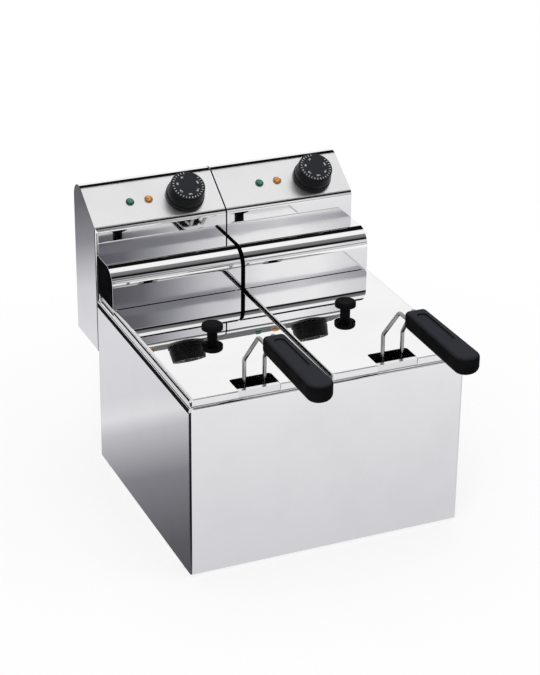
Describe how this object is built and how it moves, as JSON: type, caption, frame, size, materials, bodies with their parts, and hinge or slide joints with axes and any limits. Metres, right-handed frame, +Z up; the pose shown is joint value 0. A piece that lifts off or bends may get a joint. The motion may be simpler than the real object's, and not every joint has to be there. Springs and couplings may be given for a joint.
{
  "type": "countertop deep fryer",
  "caption": "Countertop deep fryer in polished steel with side-by-side lift-out tanks, sloped control heads, wire baskets on long black grips, and notched lids.",
  "frame": {"origin": "centre of the bounding box's bottom, on the worktop under the casing", "axes": "+Z up, +Y from the front with the grips to the rear with the heads, +X to the right as seen from the front"},
  "size_m": [0.36, 0.5886, 0.3766],
  "materials": {
    "polished_steel": "bright mirror-polished stainless steel sheet",
    "wire_steel": "plated steel wire",
    "element_steel": "dull heat-stained sheathed tube",
    "screw_steel": "plated screws",
    "shaft_steel": "turned steel",
    "black_plastic": "moulded black heat-resistant plastic, fine grained",
    "case_plastic": "pale ceramic or moulded insulating case",
    "reset_red": "moulded red button",
    "green_lens": "clear green lens",
    "amber_lens": "clear amber lens",
    "foot_rubber": "moulded black rubber"
  },
  "bodies": {
    "casing": {"casing_shell": "polished_steel", "rear_panel": "polished_steel", "base_plate": "polished_steel", "centre_rail": "polished_steel", "feet": "foot_rubber", "foot_screws": "screw_steel"},
    "left_tank": {"tank_left": "polished_steel"},
    "left_head": {"head_housing_left": "polished_steel", "back_cover_left": "polished_steel", "cover_screws_left": "screw_steel", "hood_left": "polished_steel", "hood_end_plates_left": "black_plastic", "element_plate_left": "polished_steel", "heating_element_left": "element_steel", "sensor_bulbs_left": "shaft_steel", "thermostat_left": "case_plastic", "safety_thermostat_left": "case_plastic", "green_lamp_left": "green_lens", "amber_lamp_left": "amber_lens", "terminal_block_left": "case_plastic", "cable_gland_left": "black_plastic"},
    "left_knob": {"thermostat_knob_left": "black_plastic", "thermostat_shaft_left": "shaft_steel"},
    "left_reset": {"reset_button_left": "reset_red"},
    "left_basket": {"basket_mesh_left": "wire_steel", "basket_rim_left": "wire_steel", "basket_handle_left": "wire_steel", "basket_grip_left": "black_plastic"},
    "left_lid": {"lid_left": "polished_steel", "lid_knob_left": "black_plastic", "lid_knob_screw_left": "screw_steel"},
    "right_tank": {"tank_right": "polished_steel"},
    "right_head": {"head_housing_right": "polished_steel", "back_cover_right": "polished_steel", "cover_screws_right": "screw_steel", "hood_right": "polished_steel", "hood_end_plates_right": "black_plastic", "element_plate_right": "polished_steel", "heating_element_right": "element_steel", "sensor_bulbs_right": "shaft_steel", "thermostat_right": "case_plastic", "safety_thermostat_right": "case_plastic", "green_lamp_right": "green_lens", "amber_lamp_right": "amber_lens", "terminal_block_right": "case_plastic", "cable_gland_right": "black_plastic"},
    "right_knob": {"thermostat_knob_right": "black_plastic", "thermostat_shaft_right": "shaft_steel"},
    "right_reset": {"reset_button_right": "reset_red"},
    "right_basket": {"basket_mesh_right": "wire_steel", "basket_rim_right": "wire_steel", "basket_handle_right": "wire_steel", "basket_grip_right": "black_plastic"},
    "right_lid": {"lid_right": "polished_steel", "lid_knob_right": "black_plastic", "lid_knob_screw_right": "screw_steel"}
  },
  "joints": [
    {"name": "left_tank_lift", "type": "slide", "parent": "casing", "child": "left_tank", "axis": [0, 0, 1], "range_m": [0, 0.2]},
    {"name": "left_head_lift", "type": "slide", "parent": "left_tank", "child": "left_head", "axis": [0, 0, 1], "range_m": [0, 0.2]},
    {"name": "left_basket_lift", "type": "slide", "parent": "left_head", "child": "left_basket", "axis": [0, 0, 1], "range_m": [0, 0.2]},
    {"name": "left_lid_lift", "type": "slide", "parent": "left_basket", "child": "left_lid", "axis": [0, 0, 1], "range_m": [0, 0.15]},
    {"name": "left_knob_turn", "type": "hinge", "parent": "left_head", "child": "left_knob", "pos_m": [-0.048, 0.23393, 0.34516], "axis": [0, 0.5519, -0.8339], "range_deg": [0, 290]},
    {"name": "left_reset_push", "type": "slide", "parent": "left_head", "child": "left_reset", "axis": [0, 0, 1], "range_m": [0, 0.003], "stiffness_N_per_m": 400, "springref_m": -0.002},
    {"name": "right_tank_lift", "type": "slide", "parent": "casing", "child": "right_tank", "axis": [0, 0, 1], "range_m": [0, 0.2]},
    {"name": "right_head_lift", "type": "slide", "parent": "right_tank", "child": "right_head", "axis": [0, 0, 1], "range_m": [0, 0.2]},
    {"name": "right_basket_lift", "type": "slide", "parent": "right_head", "child": "right_basket", "axis": [0, 0, 1], "range_m": [0, 0.2]},
    {"name": "right_lid_lift", "type": "slide", "parent": "right_basket", "child": "right_lid", "axis": [0, 0, 1], "range_m": [0, 0.15]},
    {"name": "right_knob_turn", "type": "hinge", "parent": "right_head", "child": "right_knob", "pos_m": [0.133, 0.23393, 0.34516], "axis": [0, 0.5519, -0.8339], "range_deg": [0, 290]},
    {"name": "right_reset_push", "type": "slide", "parent": "right_head", "child": "right_reset", "axis": [0, 0, 1], "range_m": [0, 0.003], "stiffness_N_per_m": 400, "springref_m": -0.002}
  ]
}
